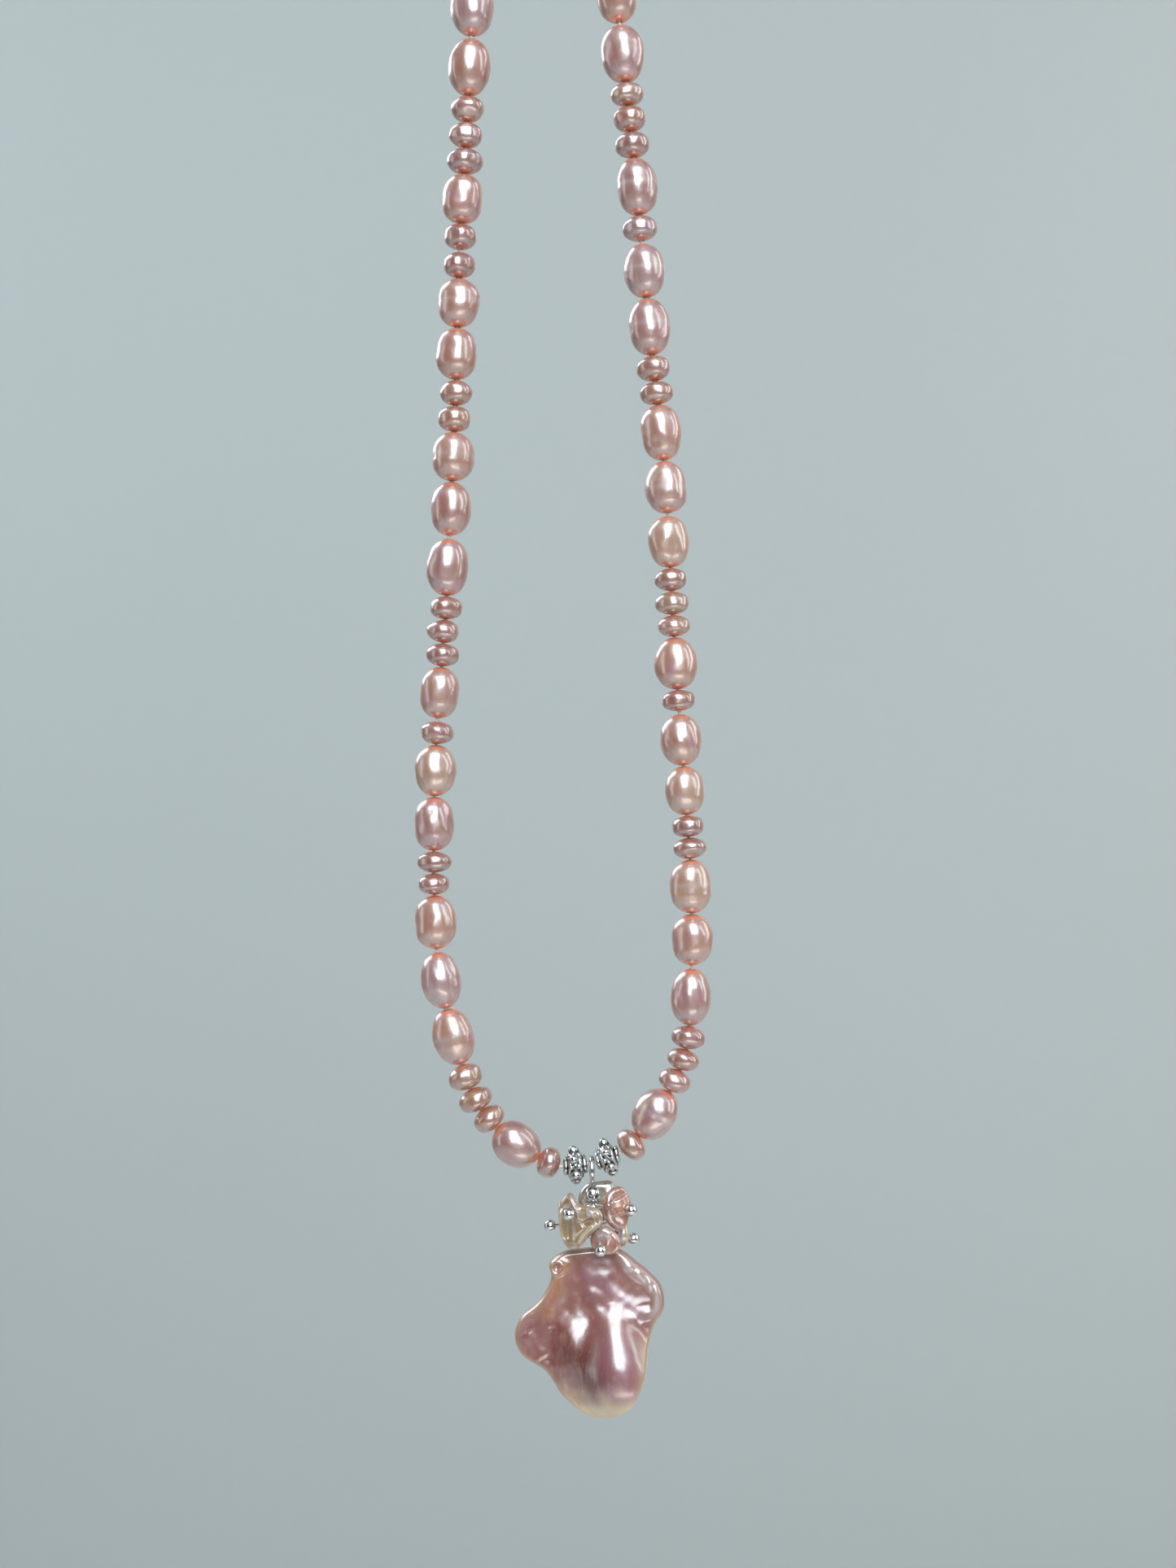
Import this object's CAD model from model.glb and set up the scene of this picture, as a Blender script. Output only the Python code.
"""The looks of a pearl necklace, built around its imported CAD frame.

Drilled freshwater pearls, a baroque pearl drop with its cluster of petal pearls, cast spacers, and soft window
light in front of a pale wall. Metres, Z up, camera looking along +Y. Forms and colours were tuned by eye."""
import math

import bpy
import numpy as np
from mathutils import Matrix, Vector


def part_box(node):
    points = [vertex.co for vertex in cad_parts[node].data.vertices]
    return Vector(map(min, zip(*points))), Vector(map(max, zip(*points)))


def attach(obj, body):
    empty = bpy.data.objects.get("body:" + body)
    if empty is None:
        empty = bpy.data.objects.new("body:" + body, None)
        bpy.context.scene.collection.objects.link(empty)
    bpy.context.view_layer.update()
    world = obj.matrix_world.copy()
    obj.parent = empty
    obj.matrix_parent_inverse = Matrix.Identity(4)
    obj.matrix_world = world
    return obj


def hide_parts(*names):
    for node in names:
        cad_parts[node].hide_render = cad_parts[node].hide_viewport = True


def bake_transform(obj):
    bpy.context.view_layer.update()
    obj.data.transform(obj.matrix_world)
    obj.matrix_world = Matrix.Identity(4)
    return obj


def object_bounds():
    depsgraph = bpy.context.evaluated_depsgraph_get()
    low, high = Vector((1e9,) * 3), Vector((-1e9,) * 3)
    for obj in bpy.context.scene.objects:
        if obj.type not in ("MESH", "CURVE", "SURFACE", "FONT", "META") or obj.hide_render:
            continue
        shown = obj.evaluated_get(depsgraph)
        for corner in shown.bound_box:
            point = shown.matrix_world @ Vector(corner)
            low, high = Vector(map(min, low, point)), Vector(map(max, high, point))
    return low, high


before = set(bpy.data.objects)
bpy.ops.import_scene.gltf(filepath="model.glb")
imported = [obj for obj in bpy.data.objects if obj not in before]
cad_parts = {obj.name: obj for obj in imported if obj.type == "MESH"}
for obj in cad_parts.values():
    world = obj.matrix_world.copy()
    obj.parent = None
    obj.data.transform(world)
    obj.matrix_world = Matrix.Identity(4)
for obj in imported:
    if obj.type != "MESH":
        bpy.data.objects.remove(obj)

CAD_BOX = [list(corner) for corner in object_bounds()]
MM = 0.001
TURN = 2.0 * math.pi
UP = np.array([0.0, 0.0, 1.0])
ACROSS = np.array([1.0, 0.0, 0.0])
WELD = 1e-6

# Random draws: each pearl, petal and spacer has a seed of its own.
SEED = 20
LEFT_SERIAL, RIGHT_SERIAL, PETAL_SERIAL = 100, 300, 50
LEFT_SPACER_SEED, RIGHT_SPACER_SEED = 4, 9
ANY_PHASE = (0.0, 6.3)
RIPPLE_WAVES = 14

# Pearls: how finely they are cut, and their drill.
AROUND = 56
PROFILE_RINGS = 40
DRILL_RADIUS = 0.34 * MM
DRILL_BEVEL = 0.07 * MM
# How blunt a pearl's ends are and how full its profile, and its broad and small unevenness as shares of its girth.
RICE_FORM = {"blunt": (2.05, 2.6), "full": (2.0, 2.3), "broad": 0.030, "small": 0.009}
BUTTON_FORM = {"blunt": (2.1, 2.7), "full": (1.9, 2.2), "broad": 0.045, "small": 0.014}
OVALNESS, FACET_DEPTH, LEAN = 0.022, 0.0065, 0.045
GIRTH_STEP = 0.012

# One letter for each pearl's tint and one digit for its girth, from the drop upward. Those of the pearls above the
# photograph's top edge are guessed.
LEFT_TINTS = "rmoogplprrmcrprrsmrpoosprrsmssslpsrmcrpsrmpo"
RIGHT_TINTS = "smpsrmpcrrcpropcrcpposmllmrscmsrpcmrspmrcs"
LEFT_GIRTHS = "36466555366553656657556653685768357645654456"
RIGHT_GIRTHS = "364555557445365445555454666567546655465546"
# Marks: a groove round the middle, streaks, a kidney-shaped hollow, a dent.
LEFT_MARKS = {6: "groove", 7: "streak", 11: "streak", 20: "groove", 24: "groove", 30: "kidney"}
RIGHT_MARKS = {2: "groove", 5: "kidney", 6: "streak", 8: "groove", 9: "kidney", 12: "streak", 18: "kidney",
               19: "groove", 20: "dent", 23: "groove", 24: "groove", 26: "groove"}

# Nacre's body colour is this much of the colour it shows.
BODY_DEPTH = 0.42


def linear(red, green, blue):
    """A colour as a screen shows it, 0 to 255, as the light it stands for."""
    def one(value):
        value /= 255.0
        return value / 12.92 if value <= 0.04045 else ((value + 0.055) / 1.055) ** 2.4
    return np.array([one(red), one(green), one(blue)])


def body_colour(red, green, blue):
    """A nacre's body colour: deeper than the pearl looks, because its skin adds white."""
    return BODY_DEPTH * linear(red, green, blue)


# The tints of the string's pearls, one to a letter, all made warmer, and the buttons darker.
TINTS = {
    "r": body_colour(194, 126, 112), "s": body_colour(202, 134, 112), "o": body_colour(208, 144, 112),
    "p": body_colour(208, 150, 130), "m": body_colour(192, 134, 130), "l": body_colour(198, 150, 154),
    "c": body_colour(212, 166, 140), "g": body_colour(208, 158, 122),
}
WARMTH = np.array([0.98, 0.82, 0.72])
BUTTON_SHADE = 0.84
ROSE, CORAL, PEACH = body_colour(190, 112, 98), body_colour(204, 128, 100), body_colour(226, 150, 100)
DEEP_ROSE, LILAC, KNOT = body_colour(128, 34, 28), body_colour(206, 150, 178), body_colour(168, 98, 92)
CREAM, OLIVE, SHELL = body_colour(232, 206, 158), body_colour(190, 150, 92), body_colour(236, 214, 206)
STREAK, GLOW = linear(218, 176, 166), linear(214, 120, 84)
# What worn silver's colour, and the drop's rose, are multiplied by.
WORN = np.array([0.62, 0.6, 0.58])
DROP_SHADE = np.array([0.80, 0.62, 0.60])


# ---- meshes

def unit(vector):
    return vector / np.linalg.norm(vector)


def smoothstep(low, high, value):
    t = np.clip((value - low) / (high - low), 0.0, 1.0)
    return t * t * (3.0 - 2.0 * t)


def in_scene(name, data):
    """A new object for some data, in the scene."""
    thing = bpy.data.objects.new(name, data)
    bpy.context.scene.collection.objects.link(thing)
    return thing


def round_angles(count):
    """Angles evenly spaced round a circle."""
    return np.linspace(0.0, TURN, count, endpoint=False)


def circle(angle, first, second):
    """Points at some angles round a unit circle."""
    return np.cos(angle)[:, None] * first + np.sin(angle)[:, None] * second


def ripples(random, scale):
    """A smooth random field in space, about -1 to 1, whose lumps are about scale across."""
    ways = random.normal(size=(RIPPLE_WAVES, 3))
    lengths = np.linalg.norm(ways, axis=1, keepdims=True)
    ways *= (TURN / scale * random.uniform(0.5, 1.3, (RIPPLE_WAVES, 1))) / lengths
    phases = random.uniform(0.0, TURN, RIPPLE_WAVES)
    return lambda points: np.sin(points @ ways.T + phases).sum(axis=-1) / math.sqrt(RIPPLE_WAVES)


class Shape:
    """Closed surfaces gathered into one mesh, with what the materials read at each point."""

    def __init__(self):
        self.points, self.faces, self.tint, self.grain, self.along = [], [], [], [], []
        self.count = 0

    def grid(self, rings, tint, grain, along=None, wrap_rings=False, cap_start=False, cap_end=False):
        """Rings of points, each closed on itself, joined in order; an end can be closed with a fan of triangles."""
        rows, columns = rings.shape[:2]
        along = np.zeros((rows, columns)) if along is None else along
        first = self.count
        index = first + np.arange(rows * columns).reshape(rows, columns)
        below, above = (index, np.roll(index, -1, axis=0)) if wrap_rings else (index[:-1], index[1:])
        corners = [below, np.roll(below, -1, axis=1), np.roll(above, -1, axis=1), above]
        self.faces += np.stack(corners, axis=-1).reshape(-1, 4).tolist()
        flat = [rings.reshape(-1, 3), tint.reshape(-1, 3), grain.reshape(-1, 3), along.reshape(-1)]
        self.add(*flat)
        for wanted, ring, turn in ((cap_start, index[0], -1), (cap_end, index[-1], 1)):
            if wanted:
                hub = self.count
                self.add(*(values[ring - first].mean(0)[None] for values in flat))
                for a, b in zip(ring, np.roll(ring, -1)):
                    self.faces.append([int(a), int(b), hub] if turn > 0 else [int(b), int(a), hub])

    def add(self, points, tint, grain, along):
        self.points.append(points)
        self.tint.append(tint)
        self.grain.append(grain)
        self.along.append(along)
        self.count += len(points)

    def build(self, name, material):
        mesh = bpy.data.meshes.new(name)
        mesh.from_pydata(np.concatenate(self.points).tolist(), [], self.faces)
        mesh.polygons.foreach_set("use_smooth", [True] * len(mesh.polygons))
        tint = np.ones((self.count, 4), np.float32)
        tint[:, :3] = np.clip(np.concatenate(self.tint), 0.0, 1.0)
        grain, along = np.concatenate(self.grain), np.concatenate(self.along)
        read = (("tint", "FLOAT_COLOR", "color", tint), ("grain", "FLOAT_VECTOR", "vector", grain),
                ("along", "FLOAT", "value", along))
        for label, kind, field, values in read:
            mesh.attributes.new(label, kind, "POINT").data.foreach_set(field, values.astype(np.float32).ravel())
        mesh.update()
        piece = in_scene(name, mesh)
        piece.data.materials.append(material)
        return piece


def solids_of(node):
    """The separate solids of a CAD node, each as its points and triangles."""
    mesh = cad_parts[node].data
    mesh.calc_loop_triangles()
    points = np.empty(len(mesh.vertices) * 3, np.float32)
    mesh.vertices.foreach_get("co", points)
    points = points.reshape(-1, 3).astype(float)
    triangles = np.empty(len(mesh.loop_triangles) * 3, np.int32)
    mesh.loop_triangles.foreach_get("vertices", triangles)
    welded = np.round(points / WELD).astype(np.int64)
    _, first, same = np.unique(welded, axis=0, return_index=True, return_inverse=True)
    triangles = same.reshape(-1)[triangles].reshape(-1, 3)
    points = points[first]
    label = np.arange(len(points))
    while True:
        lowest = label[triangles].min(axis=1)
        spread = label.copy()
        for corner in range(3):
            np.minimum.at(spread, triangles[:, corner], lowest)
        spread = spread[spread]
        if np.array_equal(spread, label):
            break
        label = spread
    found = []
    for mark in np.unique(label[triangles[:, 0]]):
        mine = triangles[label[triangles[:, 0]] == mark]
        used, local = np.unique(mine, return_inverse=True)
        found.append((points[used], local.reshape(-1, 3)))
    return found


def turned_solid(points, triangles, longest):
    """Where a turned solid sits: its middle, its axis pointing up, its length, its girth, and how far above the
    middle the girth is. The axis is the longest or else the shortest way through the solid."""
    a, b, c = (points[triangles[:, corner]] for corner in range(3))
    area = np.linalg.norm(np.cross(b - a, c - a), axis=1)
    middles = (a + b + c) / 3.0
    centre = (middles * area[:, None]).sum(0) / area.sum()
    spread = ((middles - centre) * area[:, None]).T @ (middles - centre)
    axis = np.linalg.eigh(spread)[1][:, 2 if longest else 0]
    axis = axis if axis[2] > 0 else -axis
    along = (points - centre) @ axis
    radial = np.linalg.norm(points - centre - along[:, None] * axis, axis=1)
    widest = along[radial > 0.985 * radial.max()].mean()
    half_way = (along.min() + along.max()) / 2.0
    return centre + half_way * axis, axis, along.max() - along.min(), 2.0 * radial.max(), widest - half_way


# ---- materials

def node_tree(name):
    material = bpy.data.materials.new(name)
    material.use_nodes = True
    tree = material.node_tree
    return material, tree, tree.nodes["Principled BSDF"]


def set_inputs(tree, node, values):
    """Links sockets to a node's inputs, and sets numbers and colours on them."""
    for label, value in values.items():
        if isinstance(value, bpy.types.NodeSocket):
            tree.links.new(value, node.inputs[label])
        else:
            node.inputs[label].default_value = value


def added(tree, kind, values, output=0):
    """One output of a new node whose inputs are set."""
    node = tree.nodes.new(kind)
    set_inputs(tree, node, values)
    return node.outputs[output]


def math_node(tree, operation, first, second=None):
    """One or two values, each a socket or a number, put through an operation."""
    node = tree.nodes.new("ShaderNodeMath")
    node.operation = operation
    set_inputs(tree, node, {0: first} if second is None else {0: first, 1: second})
    return node.outputs[0]


def attribute(tree, name, output):
    node = tree.nodes.new("ShaderNodeAttribute")
    node.attribute_name = name
    return node.outputs[output]


def stretched(tree, vector, scale):
    return added(tree, "ShaderNodeMapping", {"Scale": scale, "Vector": vector})


def noise(tree, vector, scale, detail=3.0, roughness=0.55, distortion=0.0):
    return added(tree, "ShaderNodeTexNoise", {"Scale": scale, "Detail": detail, "Roughness": roughness,
                                              "Distortion": distortion, "Vector": vector}, "Fac")


def weighted(tree, first, first_share, second, second_share):
    """Two values added, each by its share."""
    return math_node(tree, "ADD", math_node(tree, "MULTIPLY", first, first_share),
                     math_node(tree, "MULTIPLY", second, second_share))


def mapped(tree, value, from_low, from_high, to_low, to_high):
    """A value carried smoothly from one range to another."""
    node = tree.nodes.new("ShaderNodeMapRange")
    node.interpolation_type = "SMOOTHSTEP"
    set_inputs(tree, node, {"From Min": from_low, "From Max": from_high, "To Min": to_low, "To Max": to_high,
                            "Value": value})
    return node.outputs["Result"]


def mixed(tree, factor, first, second, blend="MIX"):
    """Two colours mixed; each is a socket or a colour."""
    node = tree.nodes.new("ShaderNodeMix")
    node.data_type = "RGBA"
    node.blend_type = blend
    first, second = (each if isinstance(each, bpy.types.NodeSocket) else (*each, 1.0) for each in (first, second))
    set_inputs(tree, node, {"Factor": factor, 6: first, 7: second})
    return node.outputs[2]


def bump(tree, height, strength, distance):
    return added(tree, "ShaderNodeBump", {"Strength": strength, "Distance": distance, "Height": height}, "Normal")


def nacre(name, ior, roughness, coat, streaks, patches, end_glow, relief):
    """Nacre: a body tint from the mesh with lilac and cream patches, streaks along the grain, an orange glow near
    the drill, and a satin shine under a clear skin."""
    material, tree, shader = node_tree(name)
    grain = attribute(tree, "grain", "Vector")
    tint = attribute(tree, "tint", "Color")
    along = attribute(tree, "along", "Fac")
    patch = noise(tree, grain, 0.55, detail=2.0, distortion=0.6)
    colour = mixed(tree, mapped(tree, patch, 0.5, 0.78, 0.0, patches), tint, LILAC)
    cream_patch = noise(tree, stretched(tree, grain, (0.8, 0.8, 0.5)), 0.75, detail=2.0, distortion=0.4)
    colour = mixed(tree, mapped(tree, cream_patch, 0.56, 0.8, 0.0, patches), colour, CREAM)
    lengthwise = stretched(tree, grain, (1.0, 1.0, 0.13))
    streak = noise(tree, lengthwise, 2.3, detail=4.0, roughness=0.65, distortion=0.3)
    colour = mixed(tree, mapped(tree, streak, 0.5, 0.74, 0.0, streaks), colour, STREAK, "MULTIPLY")
    colour = mixed(tree, mapped(tree, streak, 0.5, 0.3, 0.0, streaks * 0.5), colour, SHELL)
    ends = mapped(tree, math_node(tree, "ABSOLUTE", along), 0.72, 1.0, 0.0, end_glow)
    pores = noise(tree, grain, 9.0, detail=2.0)
    rough = mapped(tree, weighted(tree, streak, 0.6, pores, 0.4), 0.3, 0.7, roughness - 0.05, roughness + 0.09)
    set_inputs(tree, shader, {
        "Base Color": mixed(tree, ends, colour, GLOW), "Roughness": rough, "IOR": ior,
        "Normal": bump(tree, weighted(tree, streak, 0.7, pores, 0.16), 0.5, relief),
        "Coat Weight": coat, "Coat Roughness": 0.17, "Coat IOR": 1.9,
        "Sheen Weight": 0.3, "Sheen Roughness": 0.35, "Sheen Tint": (1.0, 0.50, 0.34, 1.0)})
    return material


def silver(name, base, roughness, wear, scale, shaded=False):
    """Silver with faint polishing marks and worn patches, and when it's shaded, darker where the mesh's tint is."""
    material, tree, shader = node_tree(name)
    place = tree.nodes.new("ShaderNodeTexCoord").outputs["Object"]
    broad = noise(tree, place, scale, detail=3.0, distortion=0.5)
    fine = noise(tree, place, scale * 9.0, detail=4.0, roughness=0.7)
    colour = mixed(tree, mapped(tree, broad, 0.45, 0.75, 0.0, wear), base, base * WORN)
    if shaded:
        colour = mixed(tree, 1.0, colour, attribute(tree, "tint", "Color"), "MULTIPLY")
    rough = mapped(tree, fine, 0.3, 0.72, roughness * 0.7, roughness * 1.6)
    dents = bump(tree, weighted(tree, broad, 0.8, fine, 0.2), 0.25, 0.05 * MM)
    set_inputs(tree, shader, {"Base Color": colour, "Roughness": rough, "Normal": dents, "Metallic": 1.0})
    return material


def beading_thread():
    """White beading silk: twisted plies and a little fuzz."""
    material, tree, shader = node_tree("beading_thread")
    place = tree.nodes.new("ShaderNodeTexCoord").outputs["Object"]
    wave = tree.nodes.new("ShaderNodeTexWave")
    wave.wave_type, wave.bands_direction = "BANDS", "DIAGONAL"
    set_inputs(tree, wave, {"Scale": 1500.0, "Distortion": 1.5, "Vector": place})
    plies = wave.outputs["Fac"]
    fuzz = noise(tree, place, 9000.0, detail=2.0)
    lit = mapped(tree, plies, 0.1, 0.9, 0.0, 1.0)
    colour = mixed(tree, lit, linear(196, 172, 160), linear(236, 224, 214))
    colour = mixed(tree, mapped(tree, fuzz, 0.5, 0.8, 0.0, 0.25), colour, linear(150, 120, 110))
    set_inputs(tree, shader, {"Base Color": colour, "Roughness": mapped(tree, fuzz, 0.3, 0.7, 0.5, 0.75),
                              "Normal": bump(tree, plies, 0.6, 0.04 * MM), "Sheen Weight": 0.3})
    return material


NACRE = {
    "rice_pearl": nacre("nacre_rice", ior=2.5, roughness=0.33, coat=0.9, streaks=0.6, patches=0.5, end_glow=0.75,
                        relief=0.06 * MM),
    "button_pearl": nacre("nacre_button", ior=2.35, roughness=0.29, coat=0.9, streaks=0.5, patches=0.4,
                          end_glow=0.7, relief=0.05 * MM),
    "baroque_pearl": nacre("nacre_baroque", ior=1.95, roughness=0.30, coat=0.7, streaks=0.4, patches=0.25,
                           end_glow=0.0, relief=0.06 * MM),
    "petal_pearl": nacre("nacre_petal", ior=2.5, roughness=0.25, coat=0.95, streaks=0.35, patches=0.3, end_glow=0.0,
                         relief=0.02 * MM),
}
SILVER = silver("polished_silver", linear(208, 207, 205), roughness=0.12, wear=0.5, scale=700.0)
SATIN_SILVER = silver("satin_silver", linear(178, 177, 174), roughness=0.30, wear=0.5, scale=700.0)
CAST_SILVER = silver("cast_silver", linear(186, 186, 186), roughness=0.15, wear=0.7, scale=900.0, shaded=True)
THREAD = beading_thread()


# ---- the string of pearls

def across_frame(axis):
    """Two directions across an axis; the first lies nearest to +X."""
    first = unit(ACROSS - (ACROSS @ axis) * axis) if abs(axis[0]) < 0.97 else unit(UP - (UP @ axis) * axis)
    return first, np.cross(axis, first)


def add_mark(swell, mark, t, theta, half, random):
    """A mark added to a pearl's swelling, which is a share of its girth, at t along it and theta round it."""
    if mark == "groove":
        place = random.uniform(-0.15, 0.25) + 0.05 * np.cos(theta + random.uniform(*ANY_PHASE))
        away = (t - place) * half / (0.13 * MM)
        swell += (-0.020 * np.exp(-away ** 2) + 0.008 * np.exp(-(away - 1.7) ** 2))
        place = place - random.uniform(0.3, 0.42)
        swell -= 0.010 * np.exp(-((t - place) * half / (0.12 * MM)) ** 2)
    elif mark == "streak":
        swell -= 0.022 * np.abs(np.sin(3.5 * theta + 1.2 * np.sin(2.0 * t))) ** 6
    elif mark == "kidney":
        swell -= 0.19 * np.exp(-((theta - 4.9) / 0.42) ** 2) * np.exp(-((t + 0.75) / 0.7) ** 2)
    elif mark == "dent":
        swell -= 0.10 * np.exp(-((theta - 4.4) / 0.35) ** 2 - ((t + 0.45) / 0.2) ** 2)


def pearl_rings(length, girth, widest, is_rice, mark, random):
    """A drilled pearl with its axis along Z: its rings of points, and how far along each is, -1 to 1."""
    form = RICE_FORM if is_rice else BUTTON_FORM
    half, radius = length / 2.0, girth / 2.0
    blunt, full = random.uniform(*form["blunt"]), random.uniform(*form["full"])
    mouth = DRILL_RADIUS + DRILL_BEVEL
    start = math.asin(min(1.0, (mouth / radius) ** (full / 2.0)))
    sweep = np.linspace(start, math.pi - start, PROFILE_RINGS)
    share = -np.sign(np.cos(sweep)) * np.abs(np.cos(sweep)) ** (2.0 / blunt)
    share /= abs(share[0])
    reach = np.sin(sweep) ** (2.0 / full) * radius
    shift = widest / half
    height = np.where(share > 0, shift + share * (1.0 - shift), shift + share * (1.0 + shift)) * half
    angle = round_angles(AROUND)
    ring = np.stack([np.cos(angle), np.sin(angle)], axis=-1)
    upward = np.broadcast_to(height[:, None, None], (PROFILE_RINGS, AROUND, 1))
    outer = np.concatenate([ring[None] * reach[:, None, None], upward], axis=-1)
    # The skin's unevenness, which fades toward the drill's mouths.
    free = (1.0 - np.abs(share) ** 3)[:, None]
    t, theta = share[:, None], angle[None]
    swell = np.zeros((PROFILE_RINGS, AROUND))
    swell += form["broad"] * ripples(random, 4.2 * MM)(outer)
    swell += form["small"] * ripples(random, 1.5 * MM)(outer)
    swell += OVALNESS * np.cos(2.0 * theta + random.uniform(*ANY_PHASE))
    facets = random.integers(5, 9)
    swell += FACET_DEPTH * np.cos(facets * theta + random.uniform(*ANY_PHASE) + 0.6 * t)
    add_mark(swell, mark, t, theta, half, random)
    outer[..., :2] *= (1.0 + swell * free)[..., None]
    outer[..., 0] += random.uniform(-LEAN, LEAN) * radius * (1.0 - t ** 2)
    if not is_rice:
        outer[..., 2] += 0.05 * ripples(random, 3.0 * MM)(outer) * half * (1.0 - np.abs(t)) * free
    bottom, top = height[0], height[-1]
    depths = (top - DRILL_BEVEL, top - 3.0 * DRILL_BEVEL, 0.0, bottom + 3.0 * DRILL_BEVEL, bottom + DRILL_BEVEL)
    bore = [np.concatenate([ring * DRILL_RADIUS, np.full((AROUND, 1), z)], axis=1) for z in depths]
    rings = np.concatenate([outer, np.stack(bore)])
    along = np.concatenate([share, [1.0, 1.0, 0.0, -1.0, -1.0]])
    return rings, np.broadcast_to(along[:, None], rings.shape[:2])


def string_pearl(name, node, body, solid, serial, tint, girth_digit, mark):
    """One pearl of the string, in place of one solid of its node."""
    points, triangles = solid
    is_rice = node.startswith("rice")
    middle, axis, length, girth, widest = turned_solid(points, triangles, is_rice)
    random = np.random.default_rng(SEED + serial)
    girth *= 1.0 + GIRTH_STEP * (girth_digit - 5) - GIRTH_STEP
    rings, along = pearl_rings(length, girth, widest, is_rice, mark, random)
    first, second = across_frame(axis)
    placed = middle + rings[..., :1] * first + rings[..., 1:2] * second + rings[..., 2:] * axis
    grain = rings / MM + np.array([11.0, 7.0, 13.0]) * serial
    body_tint = TINTS[tint] * WARMTH * random.uniform(0.94, 1.06) * (1.0 if is_rice else BUTTON_SHADE)
    colour = np.broadcast_to(body_tint, rings.shape).copy()
    if mark == "groove":
        fade = np.exp(-((along - 0.05) / 0.1) ** 2)[..., None]
        colour = colour * (1.0 - 0.5 * fade) + SHELL * 0.5 * fade
    shape = Shape()
    shape.grid(placed, colour, grain, along, wrap_rings=True)
    slot = "rice_pearl" if is_rice else "button_pearl"
    piece = shape.build(name, NACRE[slot])
    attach(piece, body)
    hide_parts(node)


def string_of_pearls():
    """Every pearl of the string, numbered from the drop upward on each side."""
    found = {"left": [], "right": []}
    for group in range(1, 8):
        for kind in ("rice", "button"):
            node = "%s_pearls_%d" % (kind, group)
            for solid in solids_of(node):
                centre = (solid[0].min(0) + solid[0].max(0)) / 2.0
                side = "left" if centre[0] < 0 else "right"
                found[side].append((centre[2], node, "strand_%d" % group, solid))
    looks = {"left": (LEFT_TINTS, LEFT_GIRTHS, LEFT_MARKS, LEFT_SERIAL),
             "right": (RIGHT_TINTS, RIGHT_GIRTHS, RIGHT_MARKS, RIGHT_SERIAL)}
    for side, pearls in found.items():
        tints, girths, marks, first_serial = looks[side]
        pearls.sort(key=lambda entry: entry[0])
        for number, (_, node, body, solid) in enumerate(pearls, start=1):
            string_pearl("%s_pearl_%02d" % (side, number), node, body, solid, first_serial + number,
                         tints[number - 1], int(girths[number - 1]), marks.get(number))


def thread_tips(points, lowest):
    """The middle of the left and of the right thread's lowest or highest end."""
    tips = []
    for sign in (-1, 1):
        side = points[points[:, 0] * sign > 0]
        limit = side[:, 2].min() if lowest else side[:, 2].max()
        tips.append(side[np.abs(side[:, 2] - limit) < 0.12 * MM].mean(0))
    return tips


def thread_sleeves():
    """Where the string folds between two groups, a short stretch of thread bends with it."""
    reach, radius, columns, rows = 0.55 * MM, 0.2 * MM, 14, 15
    for upper in range(1, 7):
        above_points, below_points = (np.concatenate([solid[0] for solid in solids_of("thread_%d" % group)])
                                      for group in (upper, upper + 1))
        ends = zip(("left", "right"), thread_tips(above_points, True), thread_tips(below_points, False))
        for side, above, below in ends:
            pivot = (above + below) / 2.0
            nearby = above_points[above_points[:, 0] * (1 if side == "right" else -1) > 0]
            higher = nearby[np.abs(nearby[:, 2] - pivot[2] - 1.2 * MM) < 0.9 * MM]
            direction = unit(higher.mean(0) - pivot) if len(higher) else UP
            first, second = across_frame(direction)
            t = np.linspace(-1.0, 1.0, rows)
            width = radius * np.sqrt(np.clip(1.0 - np.abs(t) ** 10, 0.04, 1.0))
            rings = (pivot + t[:, None, None] * reach * direction
                     + width[:, None, None] * circle(round_angles(columns), first, second)[None])
            shape = Shape()
            shape.grid(rings, np.ones(rings.shape), rings / MM, cap_start=True, cap_end=True)
            piece = shape.build("%s_thread_fold_%d" % (side, upper), THREAD)
            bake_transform(piece)


# ---- spacers

# A spacer's radii in mm; its turns of wire: place as a share of its length, radius and wire radius in mm; its two
# kinds of grain: how far out they sit, and their half size outward, across and along; and its dark parts.
SPACER_HOLE, SPACER_END, SPACER_SHOULDER, SPACER_WAIST = 0.42, 0.74, 0.86, 1.25
SPACER_TURNS = ((-0.39, 0.86, 0.29), (-0.21, 1.26, 0.31), (0.0, 1.50, 0.30), (0.21, 1.26, 0.31), (0.39, 0.86, 0.29))
GRAINS = 6
MAIN_GRAIN = (1.74 * MM, (0.66 * MM, 0.52 * MM, 0.66 * MM))
SIDE_GRAIN = (1.42 * MM, (0.42 * MM, 0.40 * MM, 0.36 * MM))
CORE_SHADE, WIRE_SHADE, GRAIN_SHADE = 0.06, 0.08, 0.12


def grey(tone):
    """A tone as a colour."""
    return np.repeat(tone[..., None], 3, axis=2)


def swept_ring(shape, middle, axis, radius, wire, tilt, wobble, random):
    """One turn of wire round the spacer, a little out of true."""
    first, second = across_frame(axis)
    around, section = 48, 12
    angle = round_angles(around)
    phase = random.uniform(*ANY_PHASE)
    out = circle(angle, first, second)
    path = middle + out * (radius * (1.0 + wobble * np.cos(3.0 * angle + phase)))[:, None]
    path = path + axis * (tilt * np.cos(angle + phase))[:, None]
    turn = round_angles(section)
    rings = path[:, None] + wire * (np.cos(turn)[None, :, None] * out[:, None]
                                    + np.sin(turn)[None, :, None] * axis)
    tone = WIRE_SHADE + (1.0 - WIRE_SHADE) * smoothstep(-0.7, 0.6, np.cos(turn))
    tone = np.broadcast_to(tone, rings.shape[:2])
    shape.grid(rings[::-1], grey(tone)[::-1], rings[::-1] / MM, wrap_rings=True)


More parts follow.
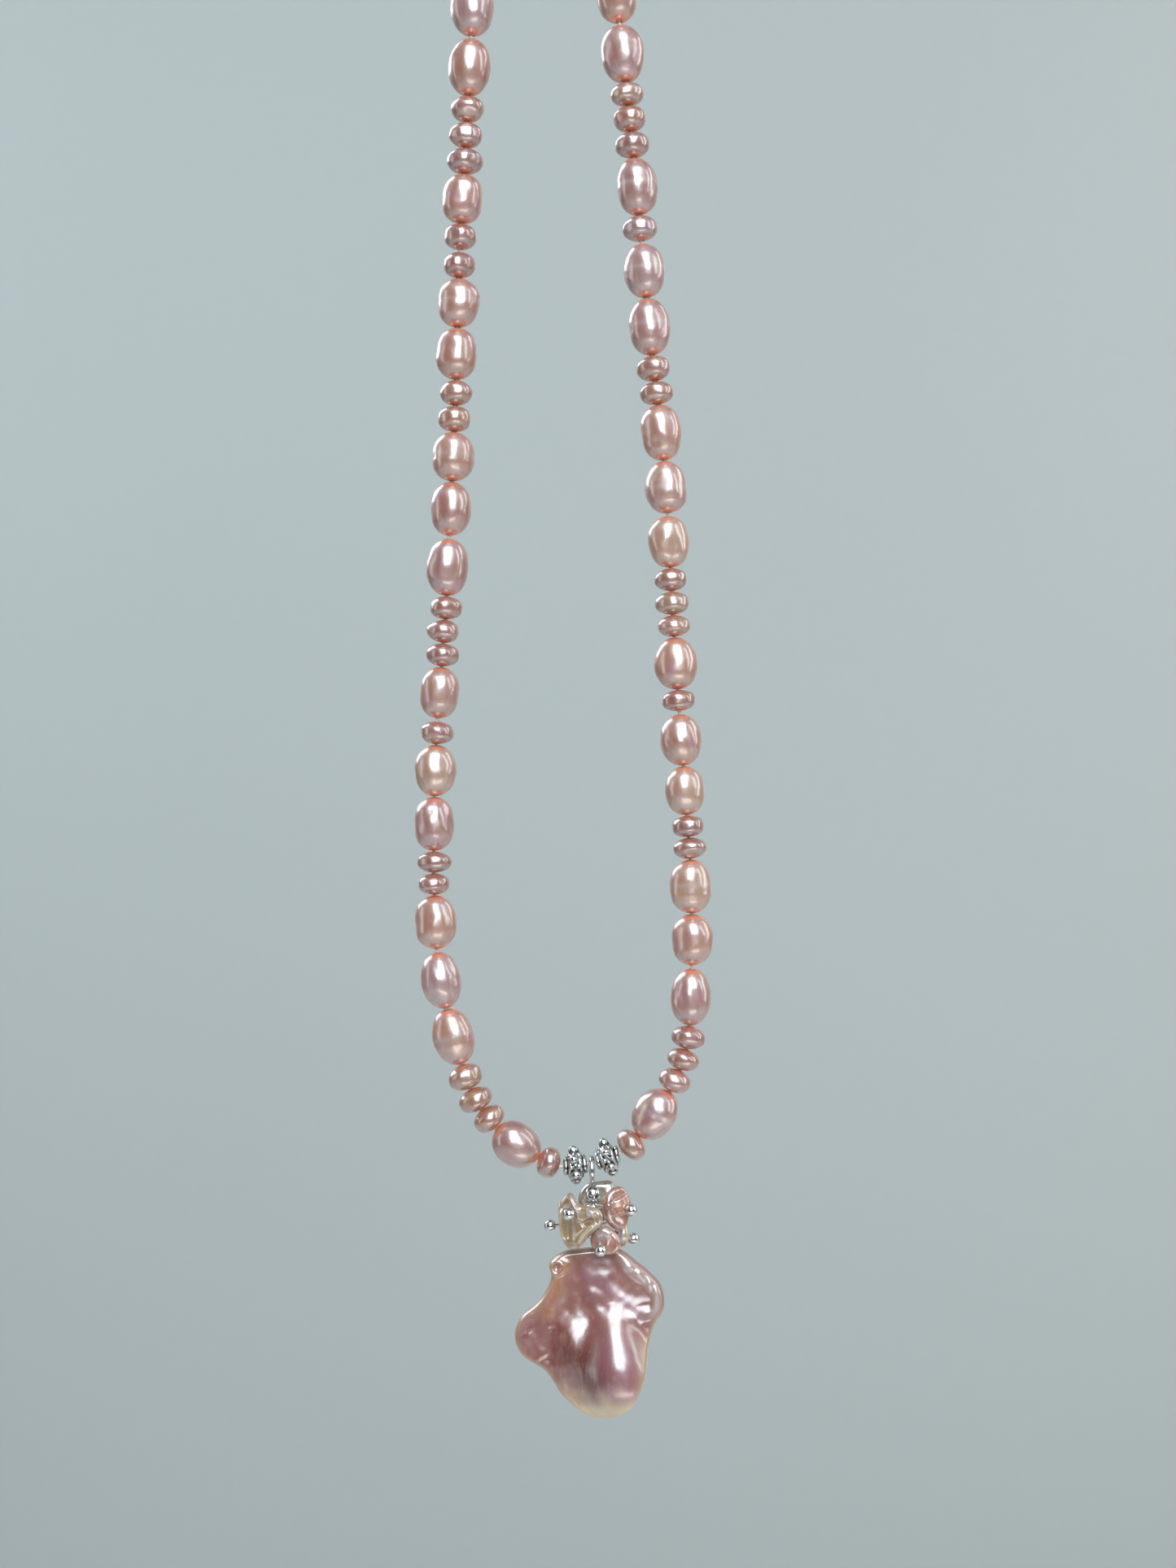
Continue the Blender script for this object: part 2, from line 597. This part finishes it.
def granule(shape, middle, out, along, size, random):
    """A small cast grain, a little uneven."""
    rows, columns, pole = 14, 18, 0.12
    sideways = np.cross(along, out)
    lat = np.linspace(pole, math.pi - pole, rows)
    lon = round_angles(columns)
    ball = np.stack([np.sin(lat)[:, None] * np.cos(lon)[None], np.sin(lat)[:, None] * np.sin(lon)[None],
                     np.broadcast_to(np.cos(lat)[:, None], (rows, columns))], axis=-1)
    uneven = 1.0 + 0.07 * ripples(random, 2.2)(ball)
    ball = ball * uneven[..., None]
    rings = (middle + ball[..., :1] * size[1] * sideways + ball[..., 1:2] * size[2] * along
             + ball[..., 2:] * size[0] * out)
    tone = GRAIN_SHADE + (1.0 - GRAIN_SHADE) * smoothstep(-0.45, 0.55, ball[..., 2])
    shape.grid(rings[::-1], grey(tone)[::-1], rings[::-1] / MM, cap_start=True, cap_end=True)


def cast_spacer(side, seed):
    """A spacer: a drilled core, turns of wire and rows of grains, set to the CAD's six lobes."""
    node = "%s_spacer" % side
    points, triangles = solids_of(node)[0]
    middle, axis, length, _, _ = turned_solid(points, triangles, False)
    random = np.random.default_rng(seed)
    first, second = across_frame(axis)
    away = points - middle
    across, over = away @ first, away @ second
    tips = np.hypot(across, over) > 1.95 * MM
    lead = np.angle(np.exp(1j * GRAINS * np.arctan2(over[tips], across[tips])).mean()) / GRAINS
    shape = Shape()
    half = length / 2.0 - 0.1 * MM
    round_axis = circle(round_angles(40), first, second)
    profile = [(-half, SPACER_HOLE), (-half, SPACER_END), (-half * 0.9, SPACER_SHOULDER), (0.0, SPACER_WAIST),
               (half * 0.9, SPACER_SHOULDER), (half, SPACER_END), (half, SPACER_HOLE), (0.0, SPACER_HOLE)]
    core = np.stack([middle + axis * place + round_axis * (radius * MM) for place, radius in profile])
    shape.grid(core, np.full(core.shape, CORE_SHADE), core / MM, wrap_rings=True)
    for place, radius, wire in SPACER_TURNS:
        swept_ring(shape, middle + axis * place * length, axis, radius * MM, wire * MM,
                   random.uniform(-0.13, 0.13) * MM, random.uniform(0.02, 0.06), random)
    for number in range(GRAINS):
        turn = lead + number * TURN / GRAINS
        out = math.cos(turn) * first + math.sin(turn) * second
        reach, size = MAIN_GRAIN
        granule(shape, middle + out * reach + axis * random.uniform(-0.15, 0.15) * MM, out, axis, size, random)
        half_turn = turn + math.pi / GRAINS
        out = math.cos(half_turn) * first + math.sin(half_turn) * second
        reach, size = SIDE_GRAIN
        for way in (-1, 1):
            place = middle + out * reach + axis * way * random.uniform(0.40, 0.62) * MM
            granule(shape, place, out, axis, size, random)
    piece = shape.build("%s_cast_spacer" % side, CAST_SILVER)
    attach(piece, node)
    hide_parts(node)


# ---- thin pearls: the drop and its petals

def closed_curve(points, count):
    """A smooth closed curve through the points, evenly spaced."""
    points = np.array(points, float)
    before, after, later = np.roll(points, 1, 0), np.roll(points, -1, 0), np.roll(points, -2, 0)
    t = np.linspace(0.0, 1.0, 40, endpoint=False)[None, :, None]
    curve = 0.5 * (2.0 * points[:, None] + (after - before)[:, None] * t
                   + (2.0 * before - 5.0 * points + 4.0 * after - later)[:, None] * t ** 2
                   + (3.0 * points - before - 3.0 * after + later)[:, None] * t ** 3)
    curve = curve.reshape(-1, 2)
    step = np.linalg.norm(np.roll(curve, -1, 0) - curve, axis=1)
    run = np.concatenate([[0.0], np.cumsum(step)])
    wanted = np.linspace(0.0, run[-1], count, endpoint=False)
    looped = np.concatenate([curve, curve[:1]])
    return np.stack([np.interp(wanted, run, looped[:, axis]) for axis in range(2)], axis=-1)


def path_distance(points, path):
    """How far points are from an open path, and how far along it their nearest point is, 0 to 1."""
    path = np.array(path, float)
    start, way = path[:-1], path[1:] - path[:-1]
    share = np.clip(((points[..., None, :] - start) * way).sum(-1) / (way ** 2).sum(-1), 0.0, 1.0)
    nearest = start + share[..., None] * way
    gap = np.linalg.norm(points[..., None, :] - nearest, axis=-1)
    pick = gap.argmin(-1)
    along = (pick + np.take_along_axis(share, pick[..., None], -1)[..., 0]) / len(start)
    return gap.min(-1), along


def edge_distance(points, outline):
    """How far points inside an outline are from it."""
    return path_distance(points, np.concatenate([outline, outline[:1]]))[0]


def ridge(points, path, width, fade=0.15):
    """1 on a path, falling away to its sides and ends."""
    gap, along = path_distance(points, path)
    return np.exp(-(gap / width) ** 2) * smoothstep(0.0, fade, along) * smoothstep(1.0, 1.0 - fade, along)


def smooth_max(first, second, softness):
    return 0.5 * (first + second + np.sqrt((first - second) ** 2 + softness ** 2))


def thin_pearl(outline, hub, columns, rows, rim, relief):
    """A flat pearl as a grid of rings from its front's middle, over its rim, to its back's middle. relief takes
    points in the plane and their distance from the rim, and gives front and back heights, in mm, and tints."""
    edge = closed_curve(outline, columns)
    hub = np.array(hub, float)
    reach = np.linalg.norm(edge - hub, axis=1)
    curl = 1.0 - np.cos(np.linspace(0.0, math.pi / 2.0, 9))
    inward = np.linspace(0.0, 1.0, rows)[1:] ** 1.25
    rings = [edge + (hub - edge) * np.clip(depth * rim / reach, 0.0, 0.9)[:, None] for depth in curl]
    last = np.clip(rim / reach, 0.0, 0.9)
    rings += [edge + (hub - edge) * (last + (0.985 - last) * share)[:, None] for share in inward[:-1]]
    plane = np.stack(rings)
    depth = edge_distance(plane, edge)
    depth[0] = 0.0
    front, back, front_tint, back_tint = relief(plane, depth)
    front[0] = back[0] = (front[0] + back[0]) / 2.0
    outer = np.concatenate([plane[::-1], plane[1:]])
    height = np.concatenate([front[::-1], back[1:]])
    tint = np.concatenate([front_tint[::-1], back_tint[1:]])
    return outer, height, tint


def rounded(depth, rim):
    return np.sqrt(np.clip(1.0 - (1.0 - np.clip(depth / rim, 0.0, 1.0)) ** 2, 0.0, 1.0))


def blend_tint(base, other, amount):
    amount = np.clip(amount, 0.0, 1.0)[..., None]
    return base * (1.0 - amount) + other * amount


# The drop, in mm from the pendant's eye across and up: its rim's roundness, its outline, and the folds of its
# plate as height, width and path.
DROP_RIM = 0.5
DROP_HUB = (-0.6, -20.8)
DROP_OUTLINE = [
    (-2.2, -10.5), (-4.6, -11.1), (-5.7, -12.3), (-5.5, -13.9), (-6.3, -15.6), (-7.4, -17.0), (-9.3, -18.5),
    (-10.2, -20.8), (-9.4, -23.2), (-6.8, -25.0), (-5.6, -26.6), (-4.6, -28.2), (-1.8, -30.6), (1.2, -31.0),
    (4.0, -29.3), (5.6, -26.2), (6.2, -22.3), (7.0, -20.0), (8.2, -18.0), (8.1, -15.6), (6.9, -13.9), (5.2, -12.4),
    (2.6, -10.6),
]
DROP_FOLDS = [
    (0.22, 0.7, [(-3.4, -11.2), (-4.0, -13.5), (-4.6, -16.0), (-6.2, -19.2)]),
    (0.10, 0.75, [(-2.4, -12.6), (0.4, -14.0), (2.6, -16.2), (5.2, -17.9), (7.0, -18.6)]),
    (0.08, 0.7, [(-1.6, -15.0), (0.2, -15.8), (1.6, -17.2), (3.6, -18.2)]),
    (0.20, 0.8, [(-8.8, -20.0), (-7.6, -22.0), (-6.6, -23.6)]),
    (-0.22, 0.8, [(-5.6, -19.4), (-5.5, -21.8), (-6.0, -24.4)]),
    (-0.08, 0.9, [(5.9, -17.0), (6.3, -19.4)]),
]
BULGE_CREASE = [(4.6, -18.6), (5.6, -21.0), (5.6, -24.0)]
LILAC_FOLD = [(-2.4, -12.8), (0.4, -14.2), (2.8, -16.6), (6.5, -19.0)]
PEACH_FOLD = [(-3.0, -10.9), (-4.4, -13.5), (-5.2, -16.0), (-6.6, -19.4)]


def mound(across, rise, fullness):
    """1 at a round mound's middle and 0 from its foot outward."""
    return np.clip(1.0 - np.hypot(across, rise) ** 2.3, 0.0, 1.0) ** fullness


def drop_bulge(x, z):
    """The drop's bulge: one full mound, a smaller one on its left flank and a shallow valley between them."""
    crown_rise = (z + 26.4) / np.where(z > -26.4, 9.0, 6.2)
    crown = 4.4 * mound((x - 2.3 + 0.08 * (z + 24.4)) / 5.5, crown_rise, 0.75)
    flank = 2.0 * mound((x + 2.9) / 2.8, (z + 23.2) / np.where(z > -23.2, 5.2, 4.6), 0.9)
    valley = np.exp(-((x + 1.2 - 0.12 * (z + 22.0)) / 1.1) ** 2)
    valley = valley * smoothstep(-28.0, -25.5, z) * smoothstep(-17.6, -19.6, z)
    return smooth_max(crown, flank, 1.4) - 0.45 * valley


def softened(height, x, z, reach):
    """A height averaged over a small disc round each point, whose middle counts double."""
    total, weight = 2.0 * height(x, z), 2.0
    for share, count in ((0.5, 6), (1.0, 10)):
        for turn in round_angles(count):
            total = total + height(x + share * reach * math.cos(turn), z + share * reach * math.sin(turn))
            weight += 1.0
    return total / weight


def drop_relief(plane, depth):
    """The drop's front and back: a thin plate with folds and a knobbly rim, and the bulge that grows out of it."""
    random = np.random.default_rng(SEED)
    x, z = plane[..., 0], plane[..., 1]
    flat = np.stack([x, np.zeros_like(x), z], axis=-1)
    broad, small, tiny = ripples(random, 6.0), ripples(random, 2.4), ripples(random, 1.1)
    edge = rounded(depth, DROP_RIM)

    # The plate: its unevenness, the rim's knobs at the upper right, folds, the small ringed knob and the top's dip.
    bead = np.exp(-((depth - 0.55) / 0.42) ** 2)
    upper_right = smoothstep(2.0, 4.0, x) * smoothstep(-20.0, -17.5, z)
    knobs = 0.5 + 0.5 * np.sin(2.6 * (x - 0.9 * z) + 1.5 * small(flat))
    web = 0.80 + 0.09 * broad(flat) + 0.035 * small(flat) + 0.01 * tiny(flat)
    band = upper_right * np.exp(-((depth - 0.95) / 0.62) ** 2)
    web += 0.03 * bead + 0.50 * band * (0.55 + 0.45 * knobs)
    for height, width, path in DROP_FOLDS:
        web += height * ridge(plane, path, width)
    knob = np.hypot(x + 4.75, z + 12.5)
    web += 0.42 * np.exp(-((knob - 0.75) / 0.34) ** 2) - 0.20 * np.exp(-(knob / 0.4) ** 2)
    web -= 0.26 * np.exp(-((x - 1.4) / 2.6) ** 2) * smoothstep(-13.6, -11.0, z)

    # The bulge, front and back, and the whole drop's bow toward the viewer.
    hill = softened(drop_bulge, x, z, 1.1) - 0.5
    hill -= 0.12 * ridge(plane, BULGE_CREASE, 0.8)
    hill += (0.09 * broad(flat + 9.0) + 0.02 * small(flat + 5.0)) * smoothstep(0.0, 2.0, hill)
    bow = 1.6 * np.exp(-((x - 2.0) / 8.5) ** 2 - ((z + 25.5) / 8.0) ** 2)
    front = -smooth_max(web, hill, 1.3) * edge - bow
    back_hill = 4.4 * mound((x - 1.0) / 5.8, (z + 24.6) / 7.2, 0.6) + 0.12 * broad(flat + 3.0)
    back = smooth_max(web * 0.95, back_hill - 0.3, 0.9) * edge - bow

    # Rose with lilac folds and bulge, a dark hollow at the left, and cream and peach toward the rim and the foot.
    rose = np.broadcast_to(ROSE, plane.shape[:2] + (3,))
    tint = blend_tint(rose, KNOT, 0.25 + 0.25 * small(flat))
    tint = blend_tint(tint, LILAC, 0.6 * ridge(plane, LILAC_FOLD, 0.8))
    tint = blend_tint(tint, LILAC, 0.55 * smoothstep(1.4, 3.6, hill))
    along, across = 0.62 * (x + 1.9) - 0.78 * (z + 24.8), 0.78 * (x + 1.9) + 0.62 * (z + 24.8)
    tint = blend_tint(tint, DEEP_ROSE, np.exp(-(along / 4.4) ** 2 - (across / 2.2) ** 2))
    tint = tint * DROP_SHADE
    tint = blend_tint(tint, 1.4 * CREAM, 0.9 * smoothstep(-26.6, -30.6, z + 0.5 * small(flat + 7.0)))
    tint = blend_tint(tint, CREAM, 0.55 * smoothstep(3.4, 5.8, x) * smoothstep(-20.0, -23.5, z))
    tint = blend_tint(tint, PEACH, 0.7 * ridge(plane, PEACH_FOLD, 0.9))
    tint = blend_tint(tint, CREAM, 0.5 * np.exp(-(depth / 0.6) ** 2) * (1.0 - upper_right))
    tint = blend_tint(tint, SHELL, 0.8 * band)
    back_tint = blend_tint(rose, LILAC, 0.35 + 0.10 * broad(flat))
    back_tint = blend_tint(back_tint, CREAM, 0.25 + 0.05 * small(flat + 2.0))
    return front, back, tint, back_tint


def flat_to_shape(outer, height, tint, place):
    """Rings in the plane and their heights, placed in space."""
    shape = Shape()
    rings = place(outer[..., 0], height, outer[..., 1])
    grain = np.stack([outer[..., 0], height * 2.0, outer[..., 1]], axis=-1)
    shape.grid(rings, tint, grain, cap_start=True, cap_end=True)
    return shape


def fitted(node, rings, draw_in):
    """Rings of points moved to the middle of a CAD node's box, and where need be drawn in to lie inside it."""
    low, high = (np.array(corner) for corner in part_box(node))
    flat = rings.reshape(-1, 3)
    first, last = flat.min(0), flat.max(0)
    scale = np.minimum(1.0, (high - low) / (last - first)) if draw_in else 1.0
    return (low + high) / 2.0 + (rings - (first + last) / 2.0) * scale


def face_outward(piece):
    """Turns a closed mesh's faces outward where they were laid the other way round."""
    mesh = piece.data
    mesh.calc_loop_triangles()
    points = np.array([vertex.co for vertex in mesh.vertices])
    triangles = np.array([triangle.vertices[:] for triangle in mesh.loop_triangles])
    a, b, c = (points[triangles[:, corner]] - points.mean(0) for corner in range(3))
    if (a * np.cross(b, c)).sum() < 0:
        mesh.flip_normals()
        mesh.update()


def baroque_drop():
    """The drop, fitted to the CAD's box for it, with its middle plane at y = 0, where the pin stands."""
    low, high = (np.array(corner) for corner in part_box("baroque_pearl"))
    outer, height, tint = thin_pearl(DROP_OUTLINE, DROP_HUB, 300, 84, DROP_RIM, drop_relief)
    x, z = outer[..., 0], outer[..., 1]
    wide = (high[0] - low[0]) / (x.max() - x.min())
    tall = (high[2] - low[2]) / (z.max() - z.min())
    deep = min(MM, low[1] / height.min(), high[1] / height.max())

    def place(across, forward, rise):
        spot = [low[0] + (across - x.min()) * wide, forward * deep, low[2] + (rise - z.min()) * tall]
        return np.stack(spot, axis=-1)

    piece = flat_to_shape(outer, height, tint, place).build("baroque_drop", NACRE["baroque_pearl"])
    face_outward(piece)
    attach(piece, "pendant")
    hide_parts("baroque_pearl")


# Petal pearls: name, degrees the face is turned about Z, lean in its own plane, thickness, how far the rim curls
# forward, the folds of the face (path, height, width, tint), the tints of the middle and of the rim, and the
# outline, in mm.
PETAL_RIM = 0.42
PETALS = [
    ("left", -98, 0, 1.15, 0.10,
     [([(0.2, 2.6), (0.5, 0.0), (-0.3, -2.3)], 0.2, 0.5, SHELL)], OLIVE, OLIVE,
     [(0, 1.7), (1.6, 1.2), (2.0, -0.6), (1.1, -2.5), (-0.6, -2.7), (-1.9, -1.2), (-1.6, 1.1)]),
    ("front_left", -18, 0, 1.15, 0.08,
     [([(-0.8, 3.4), (-0.3, 2.3), (0.2, 1.2), (0.3, 0.0)], 0.42, 0.24, SHELL),
      ([(-2.0, 1.8), (-2.2, -0.4), (-1.8, -2.4)], 0.22, 0.30, CREAM),
      ([(-1.0, 2.2), (-1.1, 0.0), (-0.9, -2.4)], -0.34, 0.55, OLIVE),
      ([(1.2, 1.2), (1.8, 1.2), (2.4, 1.1)], 0.42, 0.55, SHELL),
      ([(0.5, -0.4), (1.4, 0.1), (2.8, 0.4)], -0.40, 0.30, OLIVE),
      ([(2.5, -0.1), (1.6, -0.8), (0.7, -1.7), (-0.1, -3.0)], 0.48, 0.50, CREAM)], OLIVE, OLIVE,
     [(-2.45, -0.5), (-2.45, 1.1), (-2.2, 2.2), (-1.6, 3.0), (-0.85, 3.5), (-0.35, 2.95), (0.1, 2.2), (0.9, 1.95),
      (2.1, 1.85), (3.0, 1.2), (3.1, 0.1), (2.4, -0.8), (1.35, -1.65), (0.5, -2.7), (-0.4, -3.35), (-1.5, -3.15),
      (-2.2, -2.0)]),
    ("right_upper", 35, -12, 1.15, 0.03,
     [([(-0.7, 1.9), (-1.45, 0.3), (-0.9, -1.4), (0.0, -2.4)], 0.10, 0.40, KNOT),
      ([(0.2, 1.3), (0.4, 0.2), (0.2, -1.1)], 0.55, 1.1, PEACH)], CORAL, CORAL,
     [(0, 2.4), (1.4, 2.0), (1.9, 0.4), (1.4, -1.4), (0.3, -2.9), (-1.2, -2.4), (-2.0, -0.6), (-1.6, 1.5)]),
    ("right_lower", 100, 0, 1.15, 0.08,
     [([(0.0, 1.4), (0.2, 0.0), (0.1, -1.3)], 0.15, 0.5, PEACH)], SHELL, CREAM,
     [(0, 1.8), (1.5, 1.2), (1.9, -0.3), (1.0, -1.6), (-0.7, -1.6), (-1.7, -0.4), (-1.3, 1.2)]),
    ("lower_front", -12, 0, 1.15, 0.03,
     [([(-1.1, 0.6), (-0.2, 0.9), (0.8, 0.6)], 0.35, 0.80, SHELL)], CORAL, CORAL,
     [(-1.9, 0.3), (-1.3, 1.5), (0.0, 1.7), (1.1, 1.0), (1.8, -0.1), (1.6, -1.2), (0.6, -1.8), (-0.8, -1.6),
      (-1.8, -0.7)]),
    ("back", 178, 0, 1.5, 0.12,
     [([(-1.4, 1.9), (0.2, 0.6), (0.5, -1.9)], 0.2, 0.5, OLIVE)], OLIVE, CREAM,
     [(-2.0, 2.55), (0.6, 2.65), (1.6, 2.2), (2.35, 1.0), (2.3, -0.6), (1.5, -2.1), (0.2, -3.0), (-1.9, -2.1),
      (-2.1, -0.3)]),
]


def petal_pearl(number, name, turned_by, lean, thickness, curl, folds, middle_tint, rim_tint, outline):
    """A petal pearl, moved to the middle of its CAD node's box."""
    random = np.random.default_rng(SEED + PETAL_SERIAL + number)
    broad, small = ripples(random, 3.2), ripples(random, 1.1)
    hub = np.mean(outline, axis=0)

    def relief(plane, depth):
        flat = np.stack([plane[..., 0], np.zeros_like(depth), plane[..., 1]], axis=-1)
        edge = rounded(depth, PETAL_RIM)
        swollen_rim = 0.9 + 0.1 * np.exp(-((depth - 0.45) / 0.4) ** 2)
        cushion = thickness / 2.0 * swollen_rim + 0.03 * broad(flat) + 0.006 * small(flat)
        cushion *= 1.0 - 0.5 * smoothstep(2.0, 3.6, np.linalg.norm(plane - hub, axis=-1))
        bend = -curl * (np.linalg.norm(plane, axis=-1) / 3.0) ** 2
        front = cushion.copy()
        middle = np.broadcast_to(middle_tint, plane.shape[:2] + (3,))
        tint = blend_tint(middle, rim_tint, np.exp(-(depth / 0.5) ** 2))
        for path, height, width, fold_tint in folds:
            fold = ridge(plane, path, width)
            front += height * fold
            tint = blend_tint(tint, fold_tint, 0.85 * fold)
        front = smooth_max(front, 0.2, 0.15)
        tint = blend_tint(tint, DEEP_ROSE, 0.06 + 0.10 * small(flat + 4.0))
        back_tint = blend_tint(middle, SHELL, 0.3 + 0.12 * broad(flat))
        return -front * edge + bend, cushion * edge + bend, tint, back_tint

    outer, height, tint = thin_pearl(outline, hub, 120, 30, PETAL_RIM, relief)
    turn, tilt = math.radians(turned_by), math.radians(lean)
    right = np.array([math.cos(turn), math.sin(turn), 0.0])
    inward = np.array([-math.sin(turn), math.cos(turn), 0.0])

    def place(across, forward, rise):
        sideways = across * math.cos(tilt) + rise * math.sin(tilt)
        upward = -across * math.sin(tilt) + rise * math.cos(tilt)
        spot = (sideways[..., None] * right + forward[..., None] * inward + upward[..., None] * UP) * MM
        return fitted("%s_petal" % name, spot, name == "lower_front")

    piece = flat_to_shape(outer, height, tint, place).build("%s_petal_pearl" % name, NACRE["petal_pearl"])
    face_outward(piece)
    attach(piece, "%s_petal" % name)
    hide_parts("%s_petal" % name)


# ---- metal and thread carried over from the CAD

def carried_over():
    """Materials for the CAD nodes that stay in sight."""
    for name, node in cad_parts.items():
        if node.hide_render:
            continue
        material = THREAD if name.startswith("thread") else SATIN_SILVER if name.startswith("clasp") else SILVER
        for slot in node.material_slots:
            slot.material = material


# ---- room, light and camera

def wall_paint(name, colour, mottle):
    material, tree, shader = node_tree(name)
    place = tree.nodes.new("ShaderNodeTexCoord").outputs["Object"]
    cloud = noise(tree, place, 1.6, detail=2.0)
    grit = noise(tree, place, 160.0, detail=3.0)
    painted = mixed(tree, mapped(tree, cloud, 0.3, 0.7, 0.0, mottle), colour, colour * 0.86)
    set_inputs(tree, shader, {"Base Color": painted, "Roughness": mapped(tree, grit, 0.3, 0.7, 0.75, 0.95),
                              "Normal": bump(tree, grit, 0.08, MM), "Specular IOR Level": 0.2})
    return material


def flat_panel(name, corners, material):
    mesh = bpy.data.meshes.new(name)
    mesh.from_pydata(corners, [], [[0, 1, 2, 3]])
    thing = in_scene(name, mesh)
    mesh.materials.append(material)


def window(name, at, aim, size, power, colour):
    """A soft pane of light, its size in metres and its power in watts."""
    data = bpy.data.lights.new(name, "AREA")
    data.shape = "RECTANGLE"
    data.size, data.size_y = size
    data.energy = power
    data.color = colour
    lamp = in_scene(name, data)
    lamp.location = at
    lamp.rotation_euler = (Vector(aim) - Vector(at)).to_track_quat("-Z", "Y").to_euler()


def room():
    """A wall, a floor, the windows, and a pale room round them for the silver to reflect."""
    wall_at, floor_at, wide = 0.85, -0.62, 3.0
    flat_panel("wall", [(-wide, wall_at, floor_at), (wide, wall_at, floor_at), (wide, wall_at, wide),
                        (-wide, wall_at, wide)], wall_paint("wall_paint", linear(171, 177, 177), 0.2))
    flat_panel("floor", [(-wide, -wide, floor_at), (wide, -wide, floor_at), (wide, wall_at, floor_at),
                         (-wide, wall_at, floor_at)], wall_paint("floor_paint", linear(206, 208, 206), 0.2))
    heart = (0.0, 0.0, -0.16)
    cool, neutral, warm = (0.85, 0.95, 1.0), (1.0, 0.985, 0.96), (1.0, 0.84, 0.70)
    window("window", (0.10, -0.74, 0.36), heart, (0.60, 1.0), 15.0, cool)
    window("far_window", (0.78, -0.36, 0.22), heart, (0.2, 0.8), 1.8, cool)
    window("side_window", (-1.05, -0.18, 0.0), heart, (0.3, 0.9), 1.1, neutral)
    window("wall_wash", (1.05, 0.20, 0.20), (0.45, 0.85, -0.42), (0.4, 1.3), 5.6, neutral)
    window("table_bounce", (0.12, -0.45, -0.62), heart, (0.5, 0.3), 1.3, warm)
    window("back_window", (-0.62, 0.52, 0.42), heart, (0.5, 0.8), 5.4, cool)
    window("ceiling", (0.0, -1.6, 1.9), (0.0, -1.6, floor_at), (1.8, 1.8), 9.0, neutral)
    world = bpy.data.worlds.new("daylight")
    bpy.context.scene.world = world
    world.use_nodes = True
    tree = world.node_tree
    backdrop = tree.nodes["Background"]
    way = tree.nodes.new("ShaderNodeTexCoord").outputs["Generated"]
    split = tree.nodes.new("ShaderNodeSeparateXYZ")
    tree.links.new(way, split.inputs[0])
    depth = mapped(tree, split.outputs["Y"], -0.9, 0.3, 0.0, 1.0)
    sky = mixed(tree, depth, linear(70, 62, 60), linear(190, 199, 203))
    ground = mapped(tree, split.outputs["Z"], -0.75, 0.35, 0.0, 1.0)
    sky = mixed(tree, ground, linear(120, 106, 102), sky)
    seen = tree.nodes.new("ShaderNodeLightPath").outputs["Is Camera Ray"]
    tree.links.new(mixed(tree, seen, sky, linear(190, 200, 202)), backdrop.inputs["Color"])
    backdrop.inputs["Strength"].default_value = 0.9


def camera():
    """The photograph's view. How far away it stands is an assumption; how much it sees at the necklace's plane, its
    roll, and the point it looks at were fitted to the photograph."""
    low, high = (np.array(corner) for corner in CAD_BOX)
    roll, away, seen = math.radians(2.0), 0.275, 192.7 * MM
    to_the_right, down = 3.54 * MM, 163.05 * MM
    data = bpy.data.cameras.new("camera")
    data.sensor_fit = "VERTICAL"
    data.sensor_height = 36.0
    data.lens = data.sensor_height * away / seen
    data.clip_start, data.clip_end = 0.01, 20.0
    view = in_scene("camera", data)
    aim = ((low[0] + high[0]) / 2.0 + to_the_right, high[2] - down)
    right = (math.cos(roll), 0.0, -math.sin(roll))
    top = (math.sin(roll), 0.0, math.cos(roll))
    view.matrix_world = Matrix([(right[0], top[0], 0.0, aim[0]), (0.0, 0.0, -1.0, -away),
                                (right[2], top[2], 0.0, aim[1]), (0.0, 0.0, 0.0, 1.0)])
    bpy.context.scene.camera = view
    bpy.context.scene.view_settings.view_transform = "Standard"


camera()
room()
string_of_pearls()
thread_sleeves()
cast_spacer("left", LEFT_SPACER_SEED)
cast_spacer("right", RIGHT_SPACER_SEED)
baroque_drop()
for number, details in enumerate(PETALS):
    petal_pearl(number, *details)
carried_over()
